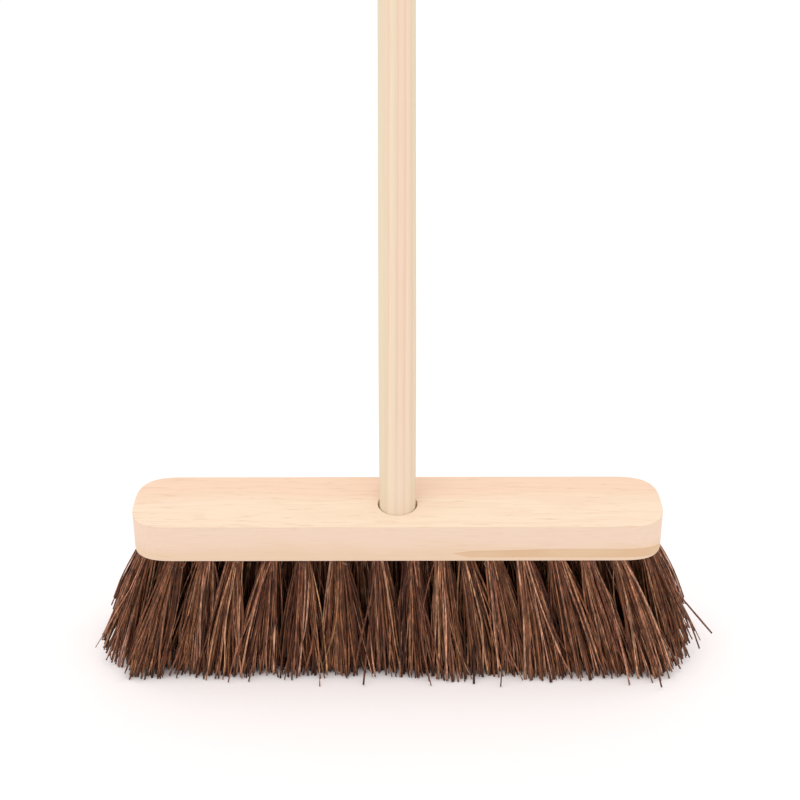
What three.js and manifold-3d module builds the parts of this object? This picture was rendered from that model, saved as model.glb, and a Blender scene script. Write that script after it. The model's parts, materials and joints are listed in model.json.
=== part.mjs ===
// A push broom as used: a flat wooden block filled with tufts of stiff brown fibre, and a plain
// round handle pushed into a sloping socket in the block's top face.
// Millimetres, +Z up. X runs along the block and the handle leans back towards +Y.
// The origin is on the handle's axis, at the place where a hand or a tool clip holds it.
import * as THREE from "three";
import { mergeVertices } from "three/addons/utils/BufferGeometryUtils.js";
import Module from "manifold-3d";

// Block
const BLOCK_LENGTH = 305; // a 12 inch head
const BLOCK_WIDTH = 56;
const BLOCK_HEIGHT = 23;
const CORNER_POWER = 3.1; // 2 is a plain round corner, more is squarer
const CORNER_STEPS = 8;
const EDGE_ROUND = 0.8;
const EDGE_STEPS = 2;

// Handle and its socket
const HANDLE_DIAMETER = 21.8;
const HANDLE_LENGTH = 1200;
const HANDLE_LEAN = THREE.MathUtils.degToRad(25); // back from upright
const TAPER_LENGTH = 120; // above the socket's mouth
const MOUTH_DIAMETER = 20.7; // the handle, where it enters the block
const TIP_DIAMETER = 20.1; // the handle, at its lower end
const TIP_CHAMFER = 1;
const DOME_HEIGHT = 8;
const DOME_STEPS = 4;
const HANDLE_SIDES = 28;
const HANDLE_OFFSET = -4.4; // where its axis meets the block's top face, in Y from the middle
const HANDLE_INSERT = 14.2;
const SOCKET_DEPTH = 15;
const SOCKET_MOUTH_DIAMETER = 22.9;
const SOCKET_END_DIAMETER = 20.9;
const SOCKET_SLACK = THREE.MathUtils.degToRad(2.9); // the handle leans on the front of the mouth
const SOCKET_SIDES = 32;
const GRIP_HEIGHT = 1000; // from the socket's mouth up the handle to the origin

// Tufts
const TRIM_LENGTH = 76; // from the block's underside to the trimmed tips
const HOLE_DIAMETER = 9.5;
const HOLE_DEPTH = 9;
const GAP = 0.3; // between pieces that touch
const TUFT_SIDES = 10;
const SPREAD_RINGS = [0.2, 0.55, 1]; // shares of the trim length
const SPREAD_POWER = 0.8; // below 1, a tuft spreads fastest near the block
const TIP_HALF_WIDTH = 10.4; // of a tuft's trimmed end, across the block

// The outer rows, from left to right: where each tuft leaves the block, and where the middle of its
// trimmed end lies. The holes are bored and filled one by one, so they aren't evenly spaced.
const OUTER_TUFTS = [
  [-126.5, -147], [-110, -127], [-93, -108], [-72.5, -85], [-54, -56],
  [-34.5, -31], [-11.5, -6], [7.5, 12], [24.5, 32], [38.5, 53],
  [54, 68], [71.5, 89], [89.5, 112], [107, 134], [125.5, 150],
].map(([root, tip]) => ({ root, tip }));
const OUTER_ROW = { root: 18.5, tip: 30 }; // how far they are from the middle, in Y
const END_TUFT = { root: { x: 143.4, y: 8 }, tip: { x: 168, y: 18 } };
// The middle row's tufts sit halfway between the outer ones, with one more at each end.
const MIDDLE_END = { root: 135, tip: 156 };
const MIDDLE_END_HALF = 8;
// A hole of the middle row keeps this far from the deep end of the socket.
const SOCKET_CLEARANCE = { y: -8, radius: 15.3 };

// Anchor: the flat wire that each tuft is folded over
const ANCHOR = { length: 12.4, thickness: 1, height: 2.2, belowTop: 2.2 };

// How far the cutters run past the faces that they cut through
const CUT_OVERRUN = 5;
const SOCKET_OVERRUN = 20;

const wasm = await Module();
wasm.setup();

const wood = () =>
  new THREE.MeshStandardMaterial({ color: 0xf6dcc0, roughness: 0.7, metalness: 0 });
const handleWood = () =>
  new THREE.MeshStandardMaterial({ color: 0xf2d9c0, roughness: 0.6, metalness: 0 });
const fibre = () =>
  new THREE.MeshStandardMaterial({ color: 0x5b3929, roughness: 0.75, metalness: 0 });

function toSolid(geometry) {
  const bare = geometry.clone();
  bare.deleteAttribute("normal");
  bare.deleteAttribute("uv");
  const merged = mergeVertices(bare, 1e-4);
  return new wasm.Manifold(
    new wasm.Mesh({
      numProp: 3,
      vertProperties: merged.attributes.position.array,
      triVerts: new Uint32Array(merged.index.array),
    }),
  );
}

function toGeometry(solid) {
  const { vertProperties, triVerts, numProp } = solid.getMesh();
  const geometry = new THREE.BufferGeometry();
  const places = new Float32Array((vertProperties.length / numProp) * 3);
  for (let i = 0; i < places.length / 3; i++)
    for (let k = 0; k < 3; k++) places[3 * i + k] = vertProperties[numProp * i + k];
  geometry.setAttribute("position", new THREE.BufferAttribute(places, 3));
  geometry.setIndex(Array.from(triVerts));
  geometry.computeVertexNormals();
  return geometry;
}

function named(name, geometry, material) {
  const mesh = new THREE.Mesh(geometry, material);
  mesh.name = name;
  return mesh;
}

// The block's outline: straight sides and full-width ends with squarish round corners.
function blockOutline() {
  const r = BLOCK_WIDTH / 2;
  const straight = BLOCK_LENGTH / 2 - r;
  const points = [];
  for (let end = 0; end < 2; end++) {
    const side = end === 0 ? 1 : -1;
    for (let i = -CORNER_STEPS; i <= CORNER_STEPS; i++) {
      const angle = (i / CORNER_STEPS) * (Math.PI / 2);
      const c = Math.abs(Math.cos(angle)) ** (2 / CORNER_POWER);
      const s = Math.sign(angle) * Math.abs(Math.sin(angle)) ** (2 / CORNER_POWER);
      points.push(new THREE.Vector2(side * (straight + r * c), side * r * s));
    }
  }
  return new THREE.Shape(points);
}

// A cutter for the handle's socket, in the block's own frame. Its end is square to the handle's
// axis but for the slack, and its mouth is wider than the handle.
function socketCutter() {
  const widen = (SOCKET_MOUTH_DIAMETER - SOCKET_END_DIAMETER) / SOCKET_DEPTH;
  const topDiameter = SOCKET_MOUTH_DIAMETER + widen * SOCKET_OVERRUN;
  const length = SOCKET_DEPTH + SOCKET_OVERRUN;
  const cone = new THREE.CylinderGeometry(
    topDiameter / 2, SOCKET_END_DIAMETER / 2, length, SOCKET_SIDES,
  );
  cone.translate(0, length / 2, 0);
  cone.rotateX(Math.PI / 2 - HANDLE_LEAN - SOCKET_SLACK);
  const endY = HANDLE_OFFSET - SOCKET_DEPTH * Math.sin(HANDLE_LEAN);
  cone.translate(0, endY, -SOCKET_DEPTH * Math.cos(HANDLE_LEAN));
  return toSolid(cone);
}

// A cutter for one tuft's hole, with the slot that the ends of its anchor sit in.
function holeCutter(x, y) {
  const bore = new THREE.CylinderGeometry(
    HOLE_DIAMETER / 2, HOLE_DIAMETER / 2, HOLE_DEPTH + CUT_OVERRUN, TUFT_SIDES,
  );
  bore.rotateX(Math.PI / 2);
  bore.translate(x, y, -BLOCK_HEIGHT + (HOLE_DEPTH - CUT_OVERRUN) / 2);
  const slot = new THREE.BoxGeometry(
    ANCHOR.length + 2 * GAP, ANCHOR.thickness + 2 * GAP, ANCHOR.height + 2 * GAP,
  );
  slot.translate(x, y, -BLOCK_HEIGHT + HOLE_DEPTH - ANCHOR.belowTop);
  return toSolid(bore).add(toSolid(slot));
}

function block(holes) {
  const body = new THREE.ExtrudeGeometry(blockOutline(), {
    depth: BLOCK_HEIGHT - 2 * EDGE_ROUND,
    bevelEnabled: true,
    bevelThickness: EDGE_ROUND,
    bevelSize: EDGE_ROUND,
    bevelOffset: -EDGE_ROUND,
    bevelSegments: EDGE_STEPS,
    steps: 1,
  });
  body.translate(0, 0, EDGE_ROUND - BLOCK_HEIGHT);
  let solid = toSolid(body).subtract(socketCutter());
  for (const { root } of holes) solid = solid.subtract(holeCutter(root.x, root.y));
  return named("block", toGeometry(solid), wood());
}

// The handle, turned about its axis, with its zero at the socket's mouth.
function handle() {
  const top = HANDLE_LENGTH - HANDLE_INSERT;
  const r = HANDLE_DIAMETER / 2;
  const tip = TIP_DIAMETER / 2;
  const profile = [
    [0, -HANDLE_INSERT],
    [tip - TIP_CHAMFER, -HANDLE_INSERT],
    [tip, TIP_CHAMFER - HANDLE_INSERT],
    [MOUTH_DIAMETER / 2, 0],
    [r, TAPER_LENGTH],
    [r, top - DOME_HEIGHT],
  ];
  for (let i = 1; i <= DOME_STEPS; i++) {
    const angle = (i / DOME_STEPS) * (Math.PI / 2);
    profile.push([r * Math.cos(angle), top - DOME_HEIGHT * (1 - Math.sin(angle))]);
  }
  profile[profile.length - 1][0] = 0;
  const points = profile.map(([x, y]) => new THREE.Vector2(x, y));
  const shape = new THREE.LatheGeometry(points, HANDLE_SIDES);
  shape.rotateX(Math.PI / 2);
  return named("handle", toGeometry(toSolid(shape)), handleWood());
}

// One tuft's place: its root on the underside, and a trimmed end that reaches from left to right.
function place(name, root, left, right, tipY) {
  const tip = { x: (left + right) / 2, y: tipY, halfLength: (right - left - GAP) / 2 };
  return { name, root, tip };
}

// A row's places. Its trimmed ends lie side by side, meeting halfway between neighbours.
function row(name, tufts, [leftEnd, rightEnd], rootY, tipY) {
  return tufts.map(({ root, tip, back = 0 }, i) => {
    const left = i === 0 ? leftEnd : (tufts[i - 1].tip + tip) / 2;
    const right = i === tufts.length - 1 ? rightEnd : (tip + tufts[i + 1].tip) / 2;
    const label = `${name}_${String(i + 1).padStart(2, "0")}`;
    return place(label, { x: root, y: rootY + back }, left, right, tipY + back);
  });
}

function middleTufts() {
  const { y, radius } = SOCKET_CLEARANCE;
  const between = OUTER_TUFTS.slice(1).map((tuft, i) => {
    const root = (OUTER_TUFTS[i].root + tuft.root) / 2;
    const tip = (OUTER_TUFTS[i].tip + tuft.tip) / 2;
    const back = Math.abs(root) < radius ? Math.max(0, y + Math.sqrt(radius ** 2 - root ** 2)) : 0;
    return { root, tip, back };
  });
  return [{ root: -MIDDLE_END.root, tip: -MIDDLE_END.tip }, ...between, MIDDLE_END];
}

function tuftPlaces() {
  const first = OUTER_TUFTS[0].tip;
  const last = OUTER_TUFTS[OUTER_TUFTS.length - 1].tip;
  const outerEnds = [(first - END_TUFT.tip.x) / 2, (last + END_TUFT.tip.x) / 2];
  const middleEnd = MIDDLE_END.tip + MIDDLE_END_HALF;
  const places = [
    ...row("tuft_front", OUTER_TUFTS, outerEnds, -OUTER_ROW.root, -OUTER_ROW.tip),
    ...row("tuft_rear", OUTER_TUFTS, outerEnds, OUTER_ROW.root, OUTER_ROW.tip),
    ...row("tuft_middle", middleTufts(), [-middleEnd, middleEnd], 0, 0),
  ];
  for (const [side, sx, inner] of [["left", -1, outerEnds[0]], ["right", 1, outerEnds[1]]]) {
    const outer = 2 * sx * END_TUFT.tip.x - inner;
    for (const [line, sy] of [["front", -1], ["rear", 1]]) {
      const root = { x: sx * END_TUFT.root.x, y: sy * END_TUFT.root.y };
      const ends = [Math.min(inner, outer), Math.max(inner, outer)];
      places.push(place(`tuft_end_${side}_${line}`, root, ...ends, sy * END_TUFT.tip.y));
    }
  }
  return places;
}

// One tuft with its anchor: straight in its hole, then spreading down to a flat trimmed end.
function tuft({ name, root, tip }) {
  const rootRadius = HOLE_DIAMETER / 2 - GAP;
  const underside = -BLOCK_HEIGHT;
  const topZ = underside + HOLE_DEPTH - GAP;
  const rings = [{ z: topZ, spread: 0 }, { z: underside, spread: 0 }];
  for (const along of SPREAD_RINGS)
    rings.push({ z: underside - along * TRIM_LENGTH, spread: along ** SPREAD_POWER });
  const points = [];
  for (const { z, spread } of rings) {
    const rx = rootRadius + (tip.halfLength - rootRadius) * spread;
    const ry = rootRadius + (TIP_HALF_WIDTH - rootRadius) * spread;
    const cx = root.x + (tip.x - root.x) * spread;
    const cy = root.y + (tip.y - root.y) * spread;
    for (let i = 0; i < TUFT_SIDES; i++) {
      const angle = (2 * Math.PI * (i + 0.5)) / TUFT_SIDES;
      points.push(cx + rx * Math.cos(angle), cy + ry * Math.sin(angle), z);
    }
  }
  const faces = [];
  const last = (rings.length - 1) * TUFT_SIDES;
  for (let i = 0; i < TUFT_SIDES; i++) {
    const next = (i + 1) % TUFT_SIDES;
    for (let ring = 0; ring < rings.length - 1; ring++) {
      const upper = ring * TUFT_SIDES;
      const lower = upper + TUFT_SIDES;
      faces.push(upper + i, lower + i, lower + next, upper + i, lower + next, upper + next);
    }
    if (i > 0 && i < TUFT_SIDES - 1) {
      faces.push(0, i, i + 1);
      faces.push(last, last + i + 1, last + i);
    }
  }
  const bundle = new THREE.BufferGeometry();
  bundle.setAttribute("position", new THREE.Float32BufferAttribute(points, 3));
  bundle.setIndex(faces);
  const wire = new THREE.BoxGeometry(ANCHOR.length, ANCHOR.thickness, ANCHOR.height);
  wire.translate(root.x, root.y, underside + HOLE_DEPTH - ANCHOR.belowTop);
  return named(name, toGeometry(toSolid(bundle).add(toSolid(wire))), fibre());
}

function head() {
  const group = new THREE.Group();
  const places = tuftPlaces();
  group.add(block(places), ...places.map(tuft));
  return group;
}

function broom() {
  const whole = new THREE.Group();
  const stick = new THREE.Group();
  stick.add(handle());
  stick.rotation.x = -HANDLE_LEAN;
  const mouth = new THREE.Vector3(0, 0, -GRIP_HEIGHT).applyEuler(stick.rotation);
  stick.position.copy(mouth);
  const brush = head();
  brush.position.set(0, mouth.y - HANDLE_OFFSET, mouth.z);
  whole.add(stick, brush);
  return whole;
}

export default broom();
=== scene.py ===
import json
import math
from types import SimpleNamespace

import bmesh
import bpy
import numpy as np
from mathutils import Matrix, Quaternion, Vector


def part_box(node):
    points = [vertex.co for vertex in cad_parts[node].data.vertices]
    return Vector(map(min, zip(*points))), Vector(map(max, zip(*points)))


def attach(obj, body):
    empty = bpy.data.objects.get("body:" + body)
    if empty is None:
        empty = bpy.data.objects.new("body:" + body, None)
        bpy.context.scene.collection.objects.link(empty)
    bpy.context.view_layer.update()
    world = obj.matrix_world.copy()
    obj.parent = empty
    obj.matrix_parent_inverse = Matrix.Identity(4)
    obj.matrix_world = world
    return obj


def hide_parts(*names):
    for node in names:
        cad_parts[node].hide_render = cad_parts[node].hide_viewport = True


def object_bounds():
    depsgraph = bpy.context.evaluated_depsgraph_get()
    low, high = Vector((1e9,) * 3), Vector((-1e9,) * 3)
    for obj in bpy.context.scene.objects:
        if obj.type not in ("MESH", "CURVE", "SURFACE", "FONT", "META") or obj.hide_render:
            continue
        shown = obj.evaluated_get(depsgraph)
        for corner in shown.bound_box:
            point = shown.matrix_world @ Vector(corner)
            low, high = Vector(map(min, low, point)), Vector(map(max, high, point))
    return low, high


# A push broom: a wooden block, a round handle and tufts of stiff brown fibre. Metres, +Z up, X
# along the block, the handle leaning back towards +Y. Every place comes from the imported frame.
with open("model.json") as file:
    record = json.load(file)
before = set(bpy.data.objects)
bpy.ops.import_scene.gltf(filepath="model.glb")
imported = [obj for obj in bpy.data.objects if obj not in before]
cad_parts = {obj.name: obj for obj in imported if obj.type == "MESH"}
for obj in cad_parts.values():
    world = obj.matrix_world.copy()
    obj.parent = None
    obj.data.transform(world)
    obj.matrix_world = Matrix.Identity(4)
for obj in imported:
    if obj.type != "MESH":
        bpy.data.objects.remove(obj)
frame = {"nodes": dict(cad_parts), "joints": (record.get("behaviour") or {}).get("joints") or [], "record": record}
CAD_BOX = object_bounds()

MM = 0.001
SEED = 573
SHARP_EDGE = math.radians(35)  # shading is smooth over anything blunter
LEVEL_NORMAL = 0.9999  # a face whose normal is this upright counts as level
SAME_LEVEL = 0.05 * MM  # points this close in height count as level with each other

# Block
CORNER_POWER = 3.1  # of the superellipse that rounds its corners
CORNER_STEPS = 40
EDGE_ROUND = 0.8 * MM
EDGE_STEPS = 5
HOLE_RADIUS = 4.75 * MM
HOLE_DEPTH = 9 * MM
HOLE_SIDES = 24
HOLE_OVERRUN = 3 * MM  # of its cutter, below the underside
SOCKET_DEPTH = 15 * MM
SOCKET_END_RADIUS = 10.45 * MM
SOCKET_MOUTH_RADIUS = 11.45 * MM
SOCKET_OVERRUN = 12 * MM  # of its cutter, above the mouth
SOCKET_SLACK = math.radians(3.6)  # how much further back it slopes than the handle in it

# Handle
HANDLE_RADIUS = 10.9 * MM
HANDLE_MOUTH_RADIUS = 10.35 * MM
HANDLE_TIP_RADIUS = 10.05 * MM
HANDLE_INSERT = 14.2 * MM
TIP_CHAMFER = 1 * MM
CHAMFER_KNEE = 0.3 * TIP_CHAMFER
TAPER_LENGTH = 120 * MM
DOME_HEIGHT = 8 * MM
PROFILE_STEPS = 12  # along the taper, and over the dome
HANDLE_SIDES = 96

# Anchors
ANCHOR = Vector((12.4, 1, 2.2)) * MM
ANCHOR_BELOW_TOP = 2.2 * MM
ANCHOR_POINT = 1.1 * MM  # the length of each pointed end
ANCHOR_NOSE = 0.15 * MM  # half the height left at its very end
ANCHOR_RIM = (0.97, 0.8)  # the size of its flat sides, and how far out their rims start

# Fibres: how many, how thick and how long
FIBRES = 50  # in a tuft, each folded in the middle, so that both its ends hang down
FIBRE_SIDES = 5
FIBRE_RADIUS = (0.34 * MM, 0.70 * MM)
FIBRE_UNEVEN = 0.08  # of its own radius, from step to step
FIBRE_FLATNESS = (0.6, 1.0)
TIP_SWELL = 0.12  # how much thicker a fibre is at its two tips than at its fold
FREE_STEPS = 8
FIBRE_LENGTH = (81.5 * MM, 1.3 * MM)  # below the block and before trimming: mean and spread
FIBRE_LENGTH_RANGE = (78 * MM, 84 * MM)
TRIM_RAGGED = 0.8 * MM
WORN = (0.06, 3 * MM)  # the share of the fibres that are short, and by how much at most
WORN_AT_ENDS = (0.35, 24 * MM)
FLOOR_GAP = 0.3 * MM
END_TRIM_FROM = 170 * MM  # the ends are trimmed to a slope that starts this far from the middle
END_TRIM_SLOPE = 3.5

# Fibres: in the hole
ROOT_RADIUS = 4.15 * MM
ROOT_JITTER = 0.2 * MM
REUSED_SPOT = 0.93  # a spot that is used twice is drawn in by this
FOLD_SHARES = (0.02, 0.2, 0.5, 0.8, 0.98)  # the fold's points, across from one side to the other
FOLD_BELOW_TOP = 1.0 * MM
FOLD_DROP = 4 * MM
FOLD_UNEVEN = 0.3 * MM
FOLD_PINCH = 0.55  # of its spots' distance from the anchor, where a fibre passes over it

# Fibres: which way they lean and bend
SPREAD = (1.15, 0.55)  # of the tips in X and Y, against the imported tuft's
HIDDEN_SPREAD = (1.35, 1.15)  # in the rows behind, to close the gaps
OUTER_POWER = 0.6  # below 1, the tips lie denser towards the outside
EARLY_FAN = 0.15  # above 0, a tuft fans out fastest near the block
STIR = 0.45 * ROOT_RADIUS  # how far tips and roots are mixed up
TUFT_LEAN = 1.5 * MM
SHEAVES = 7
SHEAF_LEAN = (2.0 * MM, 1.4 * MM)
OWN_LEAN = (2.4 * MM, 1.4 * MM)
STRAYS = (0.10, 2.2)  # the share of the fibres that lean more, and how much more
END_FLARE = 3 * MM
FURTHEST_REACH = 36 * MM
FURTHEST_ACROSS = 0.8  # of a fibre's length
BOW = 1.3 * MM
BENT = (0.18, 2.6)  # the share of the fibres that bow more, and how much more
FURTHEST_BOW = 1.5 * MM  # away from the middle of the broom
WAVE = 0.45 * MM
KINKED = (0.25, 8 * MM)  # the share of the fibres with a kink, and how far it takes them
KINK_BETWEEN = (0.3, 0.8)

# Fibres: linear colours. Green and blue follow red by a factor, a power and a spread.
FIBRE_RED = (0.235, 0.68)  # the middle one, and the spread
FIBRE_RED_RANGE = (0.04, 0.58)
FIBRE_GREEN = (0.633, 1.39, 0.05)
FIBRE_BLUE = (0.469, 1.775, 0.10)

# Loose hairs at the roots in front
MOST_HAIRS = 2
HAIR_RADIUS = 0.17 * MM
HAIR_COLOUR = (0.42, 0.33, 0.24)
HAIR_LENGTH = (5 * MM, 13 * MM)
HAIR_CURL = (0.6 * MM, 1.8 * MM)
HAIR_TURNS = (1.0, 2.6)
HAIR_FORWARD = 0.4  # how far its curl is shifted to the front, as a share of the curl
HAIR_START = 2 * MM  # above the underside

# Wood
BLOCK_RING_SPACING = 7.8 * MM
HANDLE_RING_SPACING = 4.6 * MM
HANDLE_RINGS_ACROSS = (0.92, 0.39)  # the direction across them, in X and Y
WOOD_BUMP = (0.12, 0.4 * MM)
WOOD_SPECULAR = 0.28

# Studio
CAMERA_ELEVATION = math.radians(27.7)
CAMERA_DISTANCE = 0.9
CAMERA_ASIDE = 1.5 * MM
CAMERA_RAISED = 58.5 * MM
CAMERA_ROLL = math.radians(-0.1)
CAMERA_LENS = 69.96
FLOOR_HALF = 12.0
FLOOR_COLOURS = ((0.715, 0.722, 0.730), (0.725, 0.732, 0.740))
FLOOR_GLOW = (0.322, 0.266, 0.250)
GLOW_FADES_IN = ((0.148, 0.168), (0.026, 0.044))  # between these from the middle, in X and Y
SKY_STRENGTH = 0.975
LAMP_PLACE = Vector((-0.25, -0.1, 2.2))  # from the middle of the block's top face
LAMP_SIZE = 1.8
LAMP_POWER = 9.1
LAMP_COLOUR = (1.0, 0.99, 0.98)


# ---------------------------------------------------------------- the frame's places

def points_of(node):
    return np.array([v.co for v in frame["nodes"][node].data.vertices])


def places():
    """The few points and lines that everything is built from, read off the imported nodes."""
    low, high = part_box("block")
    top = Vector(((low.x + high.x) / 2, (low.y + high.y) / 2, high.z))
    joint = frame["joints"][0]
    axis = Vector(joint["axis"]).normalized()
    grip = Vector(next(m for m in frame["record"]["mounts"] if m["name"] == "handle_grip")["pos_m"])
    mouth = grip + axis * ((top.z - grip.z) / axis.z)
    along = (points_of("handle") - np.array(grip)) @ np.array(axis)
    return SimpleNamespace(
        top=top,
        size=high - low,
        underside=low.z,
        floor=CAD_BOX[0].z,
        axis=axis,
        mouth=mouth,
        handle_top=(grip + axis * float(along.max()) - mouth).length,
    )


def tuft_ends(node):
    """Where a tuft leaves the underside, the middle of its tips, and half their reach in X and Y."""
    points = points_of(node)
    root = points[points[:, 2] > points[:, 2].max() - SAME_LEVEL].mean(0)
    tips = points[points[:, 2] < points[:, 2].min() + SAME_LEVEL]
    low, high = tips.min(0), tips.max(0)
    root[2] = AT.underside
    return root, (low + high) / 2, (high - low)[:2] / 2


AT = places()
TUFTS = sorted(n for n in frame["nodes"] if n.startswith("tuft_"))


# ---------------------------------------------------------------- mesh helpers

def add_object(name, mesh):
    made = bpy.data.objects.new(name, mesh)
    bpy.context.scene.collection.objects.link(made)
    return made


def shade(mesh):
    """Smooth, with hard edges over an angle. Level faces stay flat, so that they shade evenly."""
    b = bmesh.new()
    b.from_mesh(mesh)
    for face in b.faces:
        face.smooth = abs(face.normal.z) < LEVEL_NORMAL
    for edge in b.edges:
        if len(edge.link_faces) == 2:
            edge.smooth = edge.calc_face_angle() < SHARP_EDGE
    b.to_mesh(mesh)
    b.free()


def loft(rings):
    """Vertices and faces of a closed skin over rings with the same number of points each."""
    sides = len(rings[0])
    verts = [p for ring in rings for p in ring]
    faces = []
    for k in range(len(rings) - 1):
        for i in range(sides):
            j = (i + 1) % sides
            faces.append((k * sides + i, k * sides + j, (k + 1) * sides + j, (k + 1) * sides + i))
    faces.append(tuple(range(sides))[::-1])
    faces.append(tuple((len(rings) - 1) * sides + i for i in range(sides)))
    return verts, faces


def mesh_from(name, verts, faces):
    mesh = bpy.data.meshes.new(name)
    mesh.from_pydata([tuple(v) for v in verts], [], faces)
    mesh.update()
    return mesh


def circle(radius, sides, z):
    turn = [2 * math.pi * i / sides for i in range(sides)]
    return [Vector((radius * math.cos(a), radius * math.sin(a), z)) for a in turn]


def join_parts(parts):
    verts, faces = [], []
    for part_verts, part_faces in parts:
        start = len(verts)
        verts += list(part_verts)
        faces += [tuple(start + i for i in face) for face in part_faces]
    return verts, faces


def moved(part, matrix):
    return [matrix @ Vector(v) for v in part[0]], part[1]


def cut(target, cutter):
    """Takes the cutter's closed bodies out of the target's mesh."""
    modifier = target.modifiers.new("cut", "BOOLEAN")
    modifier.operation = "DIFFERENCE"
    modifier.solver = "EXACT"
    modifier.object = cutter
    graph = bpy.context.evaluated_depsgraph_get()
    result = bpy.data.meshes.new_from_object(target.evaluated_get(graph))
    target.modifiers.clear()
    target.data = result
    bpy.data.objects.remove(cutter)


# ---------------------------------------------------------------- node helpers

class Shader:
    """A small wrapper that adds nodes to a material and links them."""

    def __init__(self, name):
        self.material = bpy.data.materials.new(name)
        self.material.use_nodes = True
        self.tree = self.material.node_tree
        self.tree.nodes.clear()
        self.surface = self.add("ShaderNodeBsdfPrincipled")
        output = self.add("ShaderNodeOutputMaterial")
        self.tree.links.new(self.surface.outputs["BSDF"], output.inputs["Surface"])

    def add(self, kind, **settings):
        node = self.tree.nodes.new(kind)
        for key, value in settings.items():
            setattr(node, key, value)
        return node

    def feed(self, socket, value):
        if isinstance(value, bpy.types.NodeSocket):
            self.tree.links.new(value, socket)
        else:
            socket.default_value = value

    def object_place(self, scale=(1, 1, 1), offset=(0, 0, 0)):
        """Object coordinates, moved and then scaled."""
        coordinates = self.add("ShaderNodeTexCoord")
        mapping = self.add("ShaderNodeMapping")
        self.feed(mapping.inputs["Vector"], coordinates.outputs["Object"])
        mapping.inputs["Scale"].default_value = scale
        mapping.inputs["Location"].default_value = offset
        return mapping.outputs["Vector"]

    def noise(self, place, detail=3.0, roughness=0.5):
        texture = self.add("ShaderNodeTexNoise")
        self.feed(texture.inputs["Vector"], place)
        texture.inputs["Scale"].default_value = 1.0
        texture.inputs["Detail"].default_value = detail
        texture.inputs["Roughness"].default_value = roughness
        return texture.outputs["Fac"]

    def maths(self, operation, a, b=0.0):
        node = self.add("ShaderNodeMath", operation=operation)
        self.feed(node.inputs[0], a)
        self.feed(node.inputs[1], b)
        return node.outputs[0]

    def plus(self, a, b):
        return self.maths("ADD", a, b)

    def times(self, a, b):
        return self.maths("MULTIPLY", a, b)

    def swing(self, noise, size):
        """Noise as a distance to both sides of zero."""
        return self.times(self.maths("SUBTRACT", noise, 0.5), size)

    def ramp(self, value, low, high, to_low=0.0, to_high=1.0):
        """Smoothly maps low..high to to_low..to_high, held at both ends."""
        node = self.add("ShaderNodeMapRange", interpolation_type="SMOOTHSTEP")
        self.feed(node.inputs["Value"], value)
        node.inputs["From Min"].default_value = low
        node.inputs["From Max"].default_value = high
        node.inputs["To Min"].default_value = to_low
        node.inputs["To Max"].default_value = to_high
        return node.outputs["Result"]

    def mix(self, share, a, b, blend="MIX"):
        node = self.add("ShaderNodeMix", data_type="RGBA", blend_type=blend)
        self.feed(node.inputs["Factor"], share)
        colours = [s for s in node.inputs if s.type == "RGBA"]
        for socket, value in zip(colours, (a, b)):
            self.feed(socket, (*value, 1) if isinstance(value, tuple) else value)
        return next(s for s in node.outputs if s.type == "RGBA")

    def split(self, place):
        node = self.add("ShaderNodeSeparateXYZ")
        self.feed(node.inputs["Vector"], place)
        return node.outputs

    def attribute(self, name):
        node = self.add("ShaderNodeAttribute", attribute_type="GEOMETRY")
        node.attribute_name = name
        return node.outputs

    def bump(self, height, strength, distance):
        node = self.add("ShaderNodeBump")
        self.feed(node.inputs["Height"], height)
        node.inputs["Strength"].default_value = strength
        node.inputs["Distance"].default_value = distance
        self.tree.links.new(node.outputs["Normal"], self.surface.inputs["Normal"])

    def finish(self, colour, roughness, **plain):
        self.feed(self.surface.inputs["Base Color"], colour)
        self.feed(self.surface.inputs["Roughness"], roughness)
        for key, value in plain.items():
            self.surface.inputs[key.replace("_", " ")].default_value = value
        return self.material


# ---------------------------------------------------------------- materials

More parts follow.
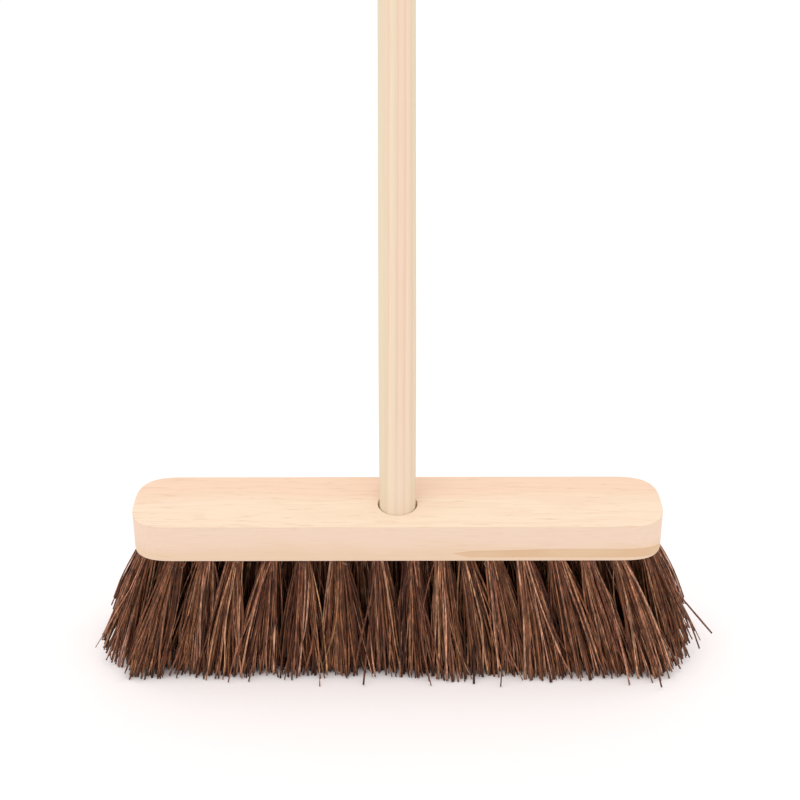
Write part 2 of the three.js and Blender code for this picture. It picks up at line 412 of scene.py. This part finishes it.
def block_wood():
    """Planed pale pine: cream in front and pinker behind, with short fine flecks along X, and one
    dark growth ring that opens low on the front face and runs off at the right-hand end.
    The object's zero is the middle of the block's top face."""
    s = Shader("block_wood")
    x, y, z = s.split(s.object_place())[:3]
    warp = s.noise(s.object_place((9, 30, 30)), detail=2.0)
    slow = s.noise(s.object_place((5, 26, 26), (0.3, 0.2, 0.1)), detail=3.0, roughness=0.55)
    fine = s.noise(s.object_place((40, 820, 820)), detail=4.0, roughness=0.6)
    flecks = s.noise(s.object_place((70, 900, 900), (0.7, 0.1, 0.4)), detail=2.0)
    patches = s.noise(s.object_place((26, 60, 90), (0.1, 0.5, 0.2)), detail=2.0)

    # The top face, from cream to pink, with faint growth rings.
    cream, pink, late_wood = (0.895, 0.706, 0.528), (0.872, 0.632, 0.468), (0.760, 0.500, 0.350)
    side = s.ramp(z, -0.4 * MM, -0.9 * MM)  # 0 on the top face, 1 on the sides
    wandering = s.plus(y, s.swing(slow, 60 * MM))
    colour = s.mix(s.ramp(wandering, -10 * MM, 12 * MM), cream, pink)
    rings = s.maths("FRACT", s.maths("DIVIDE", wandering, BLOCK_RING_SPACING))
    late = s.times(s.ramp(rings, 0.25, 0.93), s.ramp(rings, 1.0, 0.94))
    colour = s.mix(s.times(late, 0.16), colour, late_wood)

    # The sides, pinker above and tan below.
    high_pink, low_tan = (0.868, 0.662, 0.518), (0.832, 0.616, 0.436)
    pink_patch = (0.850, 0.606, 0.494)
    level = s.plus(z, s.swing(patches, 16 * MM))
    front = s.mix(s.ramp(level, -9 * MM, -19 * MM), high_pink, low_tan)
    front = s.mix(s.ramp(patches, 0.52, 0.72, 0.0, 0.35), front, pink_patch)
    colour = s.mix(side, colour, front)

    # Flecks and fine grain all over, the rounded top edge a little darker, and a painted highlight along the
    # bottom edge.
    fleck, grain = (0.66, 0.42, 0.28), (0.72, 0.47, 0.32)
    upper_edge, painted_bottom_highlight = (0.60, 0.42, 0.30), (0.93, 0.76, 0.62)
    flecked = s.times(s.ramp(flecks, 0.57, 0.73, 0.0, 0.38), s.ramp(side, 0.0, 1.0, 1.0, 0.5))
    colour = s.mix(flecked, colour, fleck)
    colour = s.mix(s.ramp(fine, 0.40, 0.78, 0.0, 0.14), colour, grain)
    edge = s.times(s.ramp(z, -1.0 * MM, -0.6 * MM), s.ramp(z, -0.1 * MM, -0.4 * MM))
    colour = s.mix(s.times(edge, 0.20), colour, upper_edge)
    # Painted highlight: a paler line along the bottom edge, standing in for the light caught there.
    colour = s.mix(s.ramp(z, -22.0 * MM, -22.6 * MM, 0.0, 0.6), colour, painted_bottom_highlight)

    # The dark ring: a leaf-shaped point, then a band that widens a little to the right. It sinks
    # towards the back, as it runs round the end.
    ring, ring_patch, ring_rim = (0.735, 0.492, 0.305), (0.762, 0.542, 0.345), (0.680, 0.440, 0.270)
    level = s.plus(z, s.times(s.plus(y, 28 * MM), 0.24))
    level = s.plus(level, s.swing(warp, 1.4 * MM))
    top = s.plus(s.ramp(x, 28 * MM, 46 * MM, -17.8 * MM, -16.0 * MM),
                 s.ramp(x, 46 * MM, 100 * MM, 0.0, 1.1 * MM))
    bottom = s.ramp(x, 28 * MM, 43 * MM, -17.6 * MM, -20.7 * MM)
    inside = s.maths("MINIMUM", s.maths("SUBTRACT", top, level), s.maths("SUBTRACT", level, bottom))
    streak = s.ramp(inside, -0.1 * MM, 0.3 * MM)
    tan = s.mix(s.ramp(patches, 0.4, 0.66), ring, ring_patch)
    tan = s.mix(s.ramp(inside, 1.0 * MM, 0.2 * MM, 0.0, 0.45), tan, ring_rim)
    colour = s.mix(s.times(streak, 0.95), colour, tan)

    s.bump(fine, *WOOD_BUMP)
    return s.finish(colour, s.ramp(fine, 0.3, 0.8, 0.52, 0.68), Specular_IOR_Level=WOOD_SPECULAR)


def handle_wood():
    """Turned pine: long straight bands of cream, pink and grey-green along the handle, local Z. The grey-green
    also paints shade down the handle's left and right sides.
    """
    cream, pink, late_wood = (0.862, 0.690, 0.509), (0.852, 0.640, 0.504), (0.720, 0.510, 0.355)
    grey_green_and_side_shade, low_grey = (0.765, 0.675, 0.490), (0.820, 0.700, 0.525)
    pinkest, grain = (0.850, 0.620, 0.480), (0.66, 0.46, 0.31)

    s = Shader("handle_wood")
    warp = s.noise(s.object_place((30, 30, 2.6)), detail=2.0)
    x, y, z = s.split(s.object_place())[:3]
    across = s.plus(s.times(x, HANDLE_RINGS_ACROSS[0]), s.times(y, HANDLE_RINGS_ACROSS[1]))
    across = s.plus(across, s.times(warp, 6.2 * MM))
    across = s.plus(across, s.times(z, 1.6 * MM))
    phase = s.maths("FRACT", s.maths("DIVIDE", across, HANDLE_RING_SPACING))
    late = s.times(s.ramp(phase, 0.35, 0.92), s.ramp(phase, 1.0, 0.95))
    bands = s.noise(s.object_place((210, 210, 1.6), (0.4, 0.1, 0.2)), detail=2.0)
    greys = s.noise(s.object_place((260, 260, 2.6), (0.7, 0.5, 0.9)), detail=2.0)
    fine = s.noise(s.object_place((900, 900, 34)), detail=4.0, roughness=0.6)

    colour = s.mix(s.ramp(bands, 0.40, 0.60), cream, pink)
    # Painted shade: the handle's left and right sides, in local X, turn grey-green.
    painted_side_shade = s.ramp(s.maths("ABSOLUTE", x), 6.2 * MM, 9.0 * MM, 0.0, 0.7)
    grey = s.maths("MAXIMUM", s.ramp(greys, 0.54, 0.66, 0.0, 0.85), painted_side_shade)
    colour = s.mix(grey, colour, grey_green_and_side_shade)
    pinker = s.times(s.ramp(x, -1.0 * MM, 1.5 * MM), s.ramp(x, 6.0 * MM, 4.0 * MM))
    colour = s.mix(s.times(pinker, 0.45), colour, pinkest)
    colour = s.mix(s.times(late, 0.42), colour, late_wood)
    colour = s.mix(s.ramp(fine, 0.42, 0.80, 0.0, 0.16), colour, grain)
    low = s.ramp(z, 70 * MM, 10 * MM, 0.0, 0.30)  # a little greyer where it goes into the block
    colour = s.mix(low, colour, low_grey)
    s.bump(fine, *WOOD_BUMP)
    return s.finish(colour, s.ramp(fine, 0.3, 0.8, 0.50, 0.66), Specular_IOR_Level=WOOD_SPECULAR)


def bristle():
    """Stiff palm fibre: each strand has its own brown, streaked along its length, and is darker over the last
    stretch towards both of its tips."""
    s = Shader("bristle")
    tint = s.attribute("tint")["Color"]
    along = s.attribute("along")["Fac"]
    streak = s.noise(s.object_place((1300, 1300, 90)), detail=3.0, roughness=0.6)
    patches = s.noise(s.object_place((300, 300, 90), (0.2, 0.6, 0.4)), detail=3.0)
    streaked, patchy = s.ramp(streak, 0.3, 0.72, 0.45, 1.42), s.ramp(patches, 0.3, 0.7, 0.62, 1.38)
    value = s.times(s.times(streaked, patchy), s.ramp(along, 0.955, 1.0, 1.0, 0.5))
    grey = s.add("ShaderNodeCombineColor")
    for socket in grey.inputs:
        s.feed(socket, value)
    colour = s.mix(1.0, tint, grey.outputs[0], blend="MULTIPLY")
    s.bump(streak, 0.4, 0.4 * MM)
    return s.finish(colour, s.ramp(streak, 0.3, 0.75, 0.65, 0.45), Specular_IOR_Level=0.38)


def anchor_wire():
    """Drawn flat steel wire with fine lengthwise drawing marks."""
    dark_steel, pale_steel = (0.50, 0.49, 0.47), (0.64, 0.63, 0.61)
    s = Shader("anchor_wire")
    marks = s.noise(s.object_place((60, 3000, 3000)), detail=3.0)
    colour = s.mix(s.ramp(marks, 0.35, 0.7), dark_steel, pale_steel)
    s.bump(marks, 0.1, 0.1 * MM)
    return s.finish(colour, s.ramp(marks, 0.3, 0.7, 0.28, 0.42), Metallic=1.0)


# ---------------------------------------------------------------- the block

def block_outline(inset):
    """Points of the block's plan, drawn in by an inset: straight sides and squarish round ends."""
    r = AT.size.y / 2
    straight = AT.size.x / 2 - r
    points = []
    for side in (1, -1):
        for i in range(-CORNER_STEPS, CORNER_STEPS + 1):
            angle = i / CORNER_STEPS * math.pi / 2
            c = abs(math.cos(angle)) ** (2 / CORNER_POWER)
            d = math.copysign(abs(math.sin(angle)) ** (2 / CORNER_POWER), angle)
            across = math.copysign(abs(d) ** (CORNER_POWER - 1), d)
            normal = Vector((c ** (CORNER_POWER - 1), across)).normalized()
            points.append(Vector((side * (straight + r * c - inset * normal.x),
                                  side * (r * d - inset * normal.y))))
    return points


def block_rings():
    height = AT.size.z
    rings = []
    for i in range(EDGE_STEPS + 1):
        angle = i / EDGE_STEPS * math.pi / 2
        rings.append((EDGE_ROUND * (1 - math.sin(angle)), -EDGE_ROUND * (1 - math.cos(angle))))
    rings += [(inset, -height - z) for inset, z in reversed(rings)]
    return [[Vector((p.x, p.y, z)) for p in block_outline(inset)] for inset, z in rings]


def socket_cutter():
    """The socket, widening upwards well past the top face, in the block's own frame."""
    widen = (SOCKET_MOUTH_RADIUS - SOCKET_END_RADIUS) / SOCKET_DEPTH
    top_radius = SOCKET_MOUTH_RADIUS + widen * SOCKET_OVERRUN
    cone = loft([circle(SOCKET_END_RADIUS, HANDLE_SIDES, 0),
                 circle(top_radius, HANDLE_SIDES, SOCKET_DEPTH + SOCKET_OVERRUN)])
    lean = math.atan2(AT.axis.y, AT.axis.z) + SOCKET_SLACK
    end = AT.mouth - AT.top - AT.axis * SOCKET_DEPTH
    return moved(cone, Matrix.Translation(end) @ Matrix.Rotation(-lean, 4, "X"))


def hole_cutters():
    """The tufts' holes. Each anchor's slot is left out, because the wire cuts its own way in."""
    hole = loft([circle(HOLE_RADIUS, HOLE_SIDES, -HOLE_OVERRUN),
                 circle(HOLE_RADIUS, HOLE_SIDES, HOLE_DEPTH)])
    return [moved(hole, Matrix.Translation(Vector(tuft_ends(node)[0]) - AT.top)) for node in TUFTS]


def make_block():
    verts, faces = loft(block_rings()[::-1])
    block = add_object("broom_block", mesh_from("broom_block", verts, faces))
    cutters = join_parts([socket_cutter(), *hole_cutters()])
    cutter = add_object("cutter", mesh_from("cutter", *cutters))
    cut(block, cutter)
    shade(block.data)
    block.location = AT.top
    block.data.materials.clear()
    block.data.materials.append(block_wood())
    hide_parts("block")
    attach(block, "head")


# ---------------------------------------------------------------- the handle

def handle_profile():
    """Radius and height pairs from the lower end up. Height 0 is the socket's mouth."""
    profile = [
        (HANDLE_TIP_RADIUS - TIP_CHAMFER, -HANDLE_INSERT),
        (HANDLE_TIP_RADIUS - CHAMFER_KNEE, CHAMFER_KNEE - HANDLE_INSERT),
        (HANDLE_TIP_RADIUS, TIP_CHAMFER - HANDLE_INSERT),
        (HANDLE_MOUTH_RADIUS, 0),
    ]
    for i in range(1, PROFILE_STEPS + 1):
        share = i / PROFILE_STEPS
        ease = share * (2 - share)
        profile.append((HANDLE_MOUTH_RADIUS + (HANDLE_RADIUS - HANDLE_MOUTH_RADIUS) * ease,
                        TAPER_LENGTH * share))
    shoulder = AT.handle_top - DOME_HEIGHT
    profile.append((HANDLE_RADIUS, shoulder))
    for i in range(1, PROFILE_STEPS):
        angle = i / PROFILE_STEPS * math.pi / 2
        profile.append((HANDLE_RADIUS * math.cos(angle), shoulder + DOME_HEIGHT * math.sin(angle)))
    return profile


def make_handle():
    rings = [circle(radius, HANDLE_SIDES, height) for radius, height in handle_profile()]
    handle = add_object("broom_handle", mesh_from("broom_handle", *loft(rings)))
    shade(handle.data)
    lean = math.atan2(AT.axis.y, AT.axis.z)
    handle.matrix_world = Matrix.Translation(AT.mouth) @ Matrix.Rotation(-lean, 4, "X")
    handle.data.materials.append(handle_wood())
    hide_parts("handle")
    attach(handle, "handle")


# ---------------------------------------------------------------- fibres

def fibre_colours(rng, count):
    """A linear colour for each fibre: browns that lose some of their redness as they get
    lighter."""
    middle, spread = FIBRE_RED
    red = np.clip(middle * np.exp(rng.normal(0, spread, count)), *FIBRE_RED_RANGE)
    others = [factor * red**power * np.exp(rng.normal(0, spread, count))
              for factor, power, spread in (FIBRE_GREEN, FIBRE_BLUE)]
    return np.stack([red, *others], 1)


def root_spots(rng, count):
    """Spots in the half of the hole on one side of the anchor, evenly packed, then stirred."""
    k = np.arange(2 * count) + 0.5
    radius = ROOT_RADIUS * np.sqrt(k / (2 * count))
    golden_angle = math.pi * (3 - math.sqrt(5))
    angle = k * golden_angle + rng.uniform(0, 2 * math.pi)
    spots = np.stack([radius * np.cos(angle), radius * np.sin(angle)], 1)
    spots += rng.normal(0, ROOT_JITTER, spots.shape)
    half = spots[spots[:, 1] > 0]
    while len(half) < count:
        half = np.concatenate([half, half[: count - len(half)] * REUSED_SPOT])
    return rng.permutation(half[:count])


def sheaf_leans(rng, spots):
    """Fibres that leave the hole close together lean the same way, so that a tuft has sheaves."""
    centres = rng.uniform(-ROOT_RADIUS, ROOT_RADIUS, (SHEAVES, 2))
    nearest = np.linalg.norm(spots[:, None] - centres[None], axis=2).argmin(1)
    return rng.normal(0, 1, (SHEAVES, 2))[nearest] * SHEAF_LEAN


def kinks(rng, count, t):
    """Some fibres change direction once on their way down."""
    share, size = KINKED
    where = rng.uniform(*KINK_BETWEEN, (count, 1, 1))
    turn = rng.normal(0, size, (count, 1, 2)) * (rng.random((count, 1, 1)) < share)
    return turn * np.maximum(0, t - where)


def evenly(values):
    """The values' ranks as evenly spaced numbers between -1 and 1."""
    ranks = np.argsort(np.argsort(values))
    return (2 * ranks + 1) / len(values) - 1


def tip_reach(rng, spots, lean, half):
    """How far each fibre's tip lies from the spot where it leaves the hole, in X and Y."""
    side = np.sign(spots[:, 1].mean())
    stirred = spots + rng.normal(0, STIR, spots.shape)
    outer = ((evenly(side * stirred[:, 1]) + 1) / 2) ** OUTER_POWER
    spread = np.stack([evenly(stirred[:, 0]), side * outer], 1) * half
    share, more = STRAYS
    stray = np.where(rng.random((len(spots), 1)) < share, more, 1.0)
    own = rng.normal(0, 1, spots.shape) * OWN_LEAN * stray
    reach = lean + spread + sheaf_leans(rng, spots) + own - spots
    too_far = np.linalg.norm(reach, axis=1, keepdims=True) / FURTHEST_REACH
    return reach / np.maximum(1, too_far)


def trimmed(rng, reach, start, outwards, worn):
    """Each fibre's reach and drop, once it is cut level with the floor, and to a slope at the
    broom's ends. start is how far out it leaves the block, and outwards is which way out is."""
    count = len(reach)
    length = np.clip(rng.normal(*FIBRE_LENGTH, count), *FIBRE_LENGTH_RANGE)
    across = np.minimum(np.linalg.norm(reach, axis=1), FURTHEST_ACROSS * length)
    drop = np.sqrt(length**2 - across**2)
    share, depth = worn
    short = np.where(rng.random(count) < share, rng.uniform(0, depth, count), 0)
    level = AT.underside - AT.floor - np.abs(rng.normal(0, TRIM_RAGGED, count)) - short
    # Reaching inwards counts as nothing here, or the divisor could pass through zero.
    slope_cut = ((level + END_TRIM_SLOPE * (END_TRIM_FROM - start))
                 / (drop + END_TRIM_SLOPE * np.maximum(0, outwards * reach[:, 0])))
    kept = np.minimum(1.0, np.minimum(level / drop, slope_cut))
    return reach * kept[:, None], drop * kept


def bends(rng, count, outwards, t):
    """How far each fibre strays from its way down: by a bow, a small wave and maybe a kink."""
    share, more = BENT
    bow = rng.normal(0, BOW, (count, 1, 2)) * np.where(rng.random((count, 1, 1)) < share, more, 1.0)
    bow[:, 0, 0] = outwards * np.minimum(outwards * bow[:, 0, 0], FURTHEST_BOW)
    wave = rng.normal(0, WAVE, (count, 1, 2))
    phase = rng.uniform(0, 2 * math.pi, (count, 1, 1))
    return (bow * np.sin(math.pi * t) + wave * np.sin(3 * math.pi * t + phase) * t
            + kinks(rng, count, t))


def hanging_ends(rng, spots, lean, half, root, worn):
    """The free length of each fibre, as points from the underside to its tip: (fibre, step, xyz).
    spots are where it leaves the hole, from the root, lean is how far the middle of the tips lies
    from the root, and half is the reach of the tips around that middle. worn is the share of the
    fibres that are shorter than the rest, and by how much at most."""
    count = len(spots)
    from_middle = root[0] - AT.top.x
    outwards = np.sign(from_middle)
    reach = tip_reach(rng, spots, lean, half)
    start = outwards * (from_middle + spots[:, 0])
    reach, drop = trimmed(rng, reach, start, outwards, worn)

    t = np.linspace(0, 1, FREE_STEPS + 1)[None, :, None]
    fan = (1 + EARLY_FAN) * t - EARLY_FAN * t**2
    points = np.empty((count, FREE_STEPS + 1, 3))
    sideways = reach[:, None, :] * fan + bends(rng, count, outwards, t)
    points[:, :, :2] = spots[:, None, :] + sideways
    points[:, :, 2] = AT.underside - drop[:, None] * t[:, :, 0]
    points[:, :, 2] = np.maximum(points[:, :, 2], AT.floor + FLOOR_GAP)
    return points


def tubes(paths, radius, rng):
    """Closed tubes along paths, all with the same number of steps: vertices and faces."""
    count, steps, _ = paths.shape
    tangent = np.gradient(paths, axis=1)
    tangent /= np.linalg.norm(tangent, axis=2, keepdims=True)
    side = np.empty_like(paths)
    start = np.cross(tangent[:, 0], [1.0, 0.0, 0.0])
    side[:, 0] = start / np.linalg.norm(start, axis=1, keepdims=True)
    for k in range(1, steps):  # carries the first side along without twisting it
        ahead = side[:, k - 1]
        ahead = ahead - tangent[:, k] * (ahead * tangent[:, k]).sum(1, keepdims=True)
        side[:, k] = ahead / np.linalg.norm(ahead, axis=1, keepdims=True)
    other = np.cross(tangent, side)
    turn = np.arange(FIBRE_SIDES) * 2 * math.pi / FIBRE_SIDES
    turn = turn[None, None, :] + rng.uniform(0, 2 * math.pi, (count, 1, 1))
    flat = rng.uniform(*FIBRE_FLATNESS, (count, 1, 1))
    a = (np.cos(turn) * radius[:, :, None])[..., None]
    b = (np.sin(turn) * radius[:, :, None] * flat)[..., None]
    verts = paths[:, :, None] + a * side[:, :, None] + b * other[:, :, None]
    base = (np.arange(count) * steps * FIBRE_SIDES)[:, None, None]
    k = (np.arange(steps - 1) * FIBRE_SIDES)[None, :, None]
    i = np.arange(FIBRE_SIDES)[None, None, :]
    j = (i + 1) % FIBRE_SIDES
    upper, lower = base + k, base + k + FIBRE_SIDES
    quads = np.stack([upper + i, upper + j, lower + j, lower + i], -1)
    faces = [tuple(q) for q in quads.reshape(-1, 4).tolist()]
    ring = np.arange(FIBRE_SIDES)
    for n in range(count):
        first = n * steps * FIBRE_SIDES
        faces.append(tuple((first + ring[::-1]).tolist()))
        faces.append(tuple((first + (steps - 1) * FIBRE_SIDES + ring).tolist()))
    return verts.reshape(-1, 3), faces


def folded_fibres(rng, node):
    """Paths of whole fibres: up one side of the anchor, over it, and down the other side."""
    root, tip, half = tuft_ends(node)
    half = half * (SPREAD if "front" in node else HIDDEN_SPREAD)
    worn = WORN_AT_ENDS if "end" in node else WORN
    lean = (tip - root)[:2] + rng.normal(0, 1, 2) * TUFT_LEAN
    if "end" in node:
        lean[0] += math.copysign(END_FLARE, lean[0])
    near = root_spots(rng, FIBRES)
    far = root_spots(rng, FIBRES) * [1, -1]
    # Both ends of a fibre come out at the same place along the anchor, as near as can be.
    far = far[np.argsort(far[:, 0])[np.argsort(np.argsort(near[:, 0]))]]
    front = hanging_ends(rng, near, lean, half, root, worn)
    back = hanging_ends(rng, far, lean, half, root, worn)
    fold = np.empty((FIBRES, len(FOLD_SHARES), 3))
    for step, share in enumerate(FOLD_SHARES):
        fold[:, step, :2] = near * (1 - share) + far * share
        crown = AT.underside + HOLE_DEPTH - FOLD_BELOW_TOP - abs(share - 0.5) * FOLD_DROP
        fold[:, step, 2] = crown + rng.uniform(-FOLD_UNEVEN, FOLD_UNEVEN, FIBRES)
    fold[:, 1:-1, :2] *= [1, FOLD_PINCH]
    paths = np.concatenate([front[:, ::-1], fold, back], axis=1)
    paths[:, :, :2] += root[:2]
    return paths


def fibre_radii(rng, count, steps):
    """A little thicker towards both frayed tips, with its own unevenness."""
    base = rng.uniform(*FIBRE_RADIUS, count)[:, None]
    from_middle = np.abs(np.linspace(-1, 1, steps))[None, :]
    uneven = 1 + rng.normal(0, FIBRE_UNEVEN, (count, steps))
    return base * (1 + TIP_SWELL * from_middle**2) * uneven


def loose_hairs(rng, root, steps):
    """None, one or two thin beige hairs that curl out of the front of the hole: paths like the
    fibres'."""
    count = rng.integers(0, MOST_HAIRS + 1)
    t = np.linspace(0, 1, steps)[None, :]
    start = rng.uniform(-1, 1, (count, 1)) * ROOT_RADIUS
    length = rng.uniform(*HAIR_LENGTH, (count, 1))
    curl = rng.uniform(*HAIR_CURL, (count, 1))
    turns = rng.uniform(*HAIR_TURNS, (count, 1))
    phase = rng.uniform(0, 2 * math.pi, (count, 1))
    angle = 2 * math.pi * turns * t + phase
    paths = np.empty((count, steps, 3))
    paths[:, :, 0] = root[0] + start + curl * np.sin(angle) * t
    paths[:, :, 1] = root[1] - 0.9 * ROOT_RADIUS - curl * (HAIR_FORWARD + np.cos(angle)) * t
    paths[:, :, 2] = AT.underside + HAIR_START - length * t
    return paths


def make_tuft(node, number, material):
    rng = np.random.default_rng(SEED + number)
    paths = folded_fibres(rng, node)
    steps = paths.shape[1]
    radii = fibre_radii(rng, FIBRES, steps)
    tint = fibre_colours(rng, FIBRES)
    if "front" in node:
        hairs = loose_hairs(rng, tuft_ends(node)[0], steps)
        paths = np.concatenate([paths, hairs])
        radii = np.concatenate([radii, np.full((len(hairs), steps), HAIR_RADIUS)])
        tint = np.concatenate([tint, np.tile(HAIR_COLOUR, (len(hairs), 1))])
    count = len(paths)
    verts, faces = tubes(paths, radii, rng)
    name = node + "_fibres"
    mesh = mesh_from(name, verts, faces)
    for polygon in mesh.polygons:
        polygon.use_smooth = len(polygon.vertices) == 4
    tints = np.ones((count, steps * FIBRE_SIDES, 4))
    tints[:, :, :3] = tint[:, None]
    colour = mesh.attributes.new("tint", "FLOAT_COLOR", "POINT")
    colour.data.foreach_set("color", tints.ravel())
    along = np.abs(np.linspace(-1, 1, steps))[None, :, None] * np.ones((count, steps, FIBRE_SIDES))
    mesh.attributes.new("along", "FLOAT", "POINT").data.foreach_set("value", along.ravel())
    mesh.materials.append(material)
    tuft = add_object(name, mesh)
    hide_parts(node)
    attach(tuft, "head")


# ---------------------------------------------------------------- anchors

def make_anchor(node, material):
    """The flat wire strip that a tuft is folded over, with pointed ends that bite into the wood."""
    half, thick, high = ANCHOR.x / 2, ANCHOR.y / 2, ANCHOR.z / 2
    neck = half - ANCHOR_POINT
    outline = [(-half, ANCHOR_NOSE), (-half, -ANCHOR_NOSE), (-neck, -high), (neck, -high),
               (half, -ANCHOR_NOSE), (half, ANCHOR_NOSE), (neck, high), (-neck, high)]
    flat, rim = ANCHOR_RIM
    rings = [[Vector((x * size, y, z * size)) for x, z in outline]
             for y, size in ((-thick, flat), (-rim * thick, 1), (rim * thick, 1), (thick, flat))]
    anchor = add_object(node + "_anchor", mesh_from(node + "_anchor", *loft(rings)))
    shade(anchor.data)
    root = tuft_ends(node)[0]
    anchor.location = (root[0], root[1], root[2] + HOLE_DEPTH - ANCHOR_BELOW_TOP)
    anchor.data.materials.append(material)
    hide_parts(node)
    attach(anchor, "head")


# ---------------------------------------------------------------- the studio

def make_camera():
    """A long lens a little above the broom, square to its front, with the block across the
    middle."""
    back = Vector((0, -math.cos(CAMERA_ELEVATION), math.sin(CAMERA_ELEVATION)))
    up = Vector((0, math.sin(CAMERA_ELEVATION), math.cos(CAMERA_ELEVATION)))
    data = bpy.data.cameras.new("camera")
    data.sensor_width = 36
    data.lens = CAMERA_LENS
    data.clip_start = 0.05
    camera = add_object("camera", data)
    aside = Vector((CAMERA_ASIDE, 0, 0))
    camera.location = AT.top + aside + up * CAMERA_RAISED + back * CAMERA_DISTANCE
    camera.rotation_mode = "QUATERNION"
    roll = Quaternion((0, 0, 1), CAMERA_ROLL)
    camera.rotation_quaternion = (-back).to_track_quat("-Z", "Y") @ roll
    bpy.context.scene.camera = camera


def make_floor():
    """A white floor that glows a little, as an overexposed floor looks, and so is pinkish where it is shaded. The
    glow is painted light. It fades out near the broom and stops right under it, so the floor there keeps only its
    real shading, and the fade deepens the shadow round the tips."""
    s = Shader("floor")
    grain = s.noise(s.object_place((8, 8, 8)), detail=2.0)
    colour = s.mix(grain, *FLOOR_COLOURS)
    x, y = s.split(s.object_place())[:2]
    beside = s.ramp(s.maths("ABSOLUTE", x), *GLOW_FADES_IN[0])
    ahead = s.ramp(s.maths("ABSOLUTE", y), *GLOW_FADES_IN[1])
    glow = s.mix(s.maths("MAXIMUM", beside, ahead), (0.0, 0.0, 0.0), FLOOR_GLOW)
    s.feed(s.surface.inputs["Emission Color"], glow)
    s.surface.inputs["Emission Strength"].default_value = 1.0
    material = s.finish(colour, 0.9, Specular_IOR_Level=0.0)
    corners = [(FLOOR_HALF * x, FLOOR_HALF * y, 0) for x, y in ((-1, -1), (1, -1), (1, 1), (-1, 1))]
    floor = add_object("floor", mesh_from("floor", corners, [(0, 1, 2, 3)]))
    floor.location = (AT.top.x, AT.top.y, AT.floor)
    floor.data.materials.append(material)


def make_lamp():
    """A wide soft lamp overhead, a little to the front and left."""
    data = bpy.data.lights.new("overhead", "AREA")
    data.shape = "DISK"
    data.size = LAMP_SIZE
    data.energy = LAMP_POWER
    data.color = LAMP_COLOUR
    lamp = add_object("overhead", data)
    place = AT.top + LAMP_PLACE
    lamp.location = place
    lamp.rotation_mode = "QUATERNION"
    lamp.rotation_quaternion = (AT.top - place).to_track_quat("-Z", "Y")


def make_sky():
    world = bpy.data.worlds.new("studio")
    world.use_nodes = True
    sky = world.node_tree.nodes["Background"]
    sky.inputs["Color"].default_value = (1.0, 1.0, 1.0, 1)
    sky.inputs["Strength"].default_value = SKY_STRENGTH
    bpy.context.scene.world = world


def make_broom():
    make_block()
    make_handle()
    fibre_material, wire_material = bristle(), anchor_wire()
    for number, node in enumerate(TUFTS):
        make_tuft(node, number, fibre_material)
        make_anchor(node, wire_material)


make_camera()
make_floor()
make_sky()
make_lamp()
make_broom()
bpy.context.scene.view_settings.view_transform = "Standard"
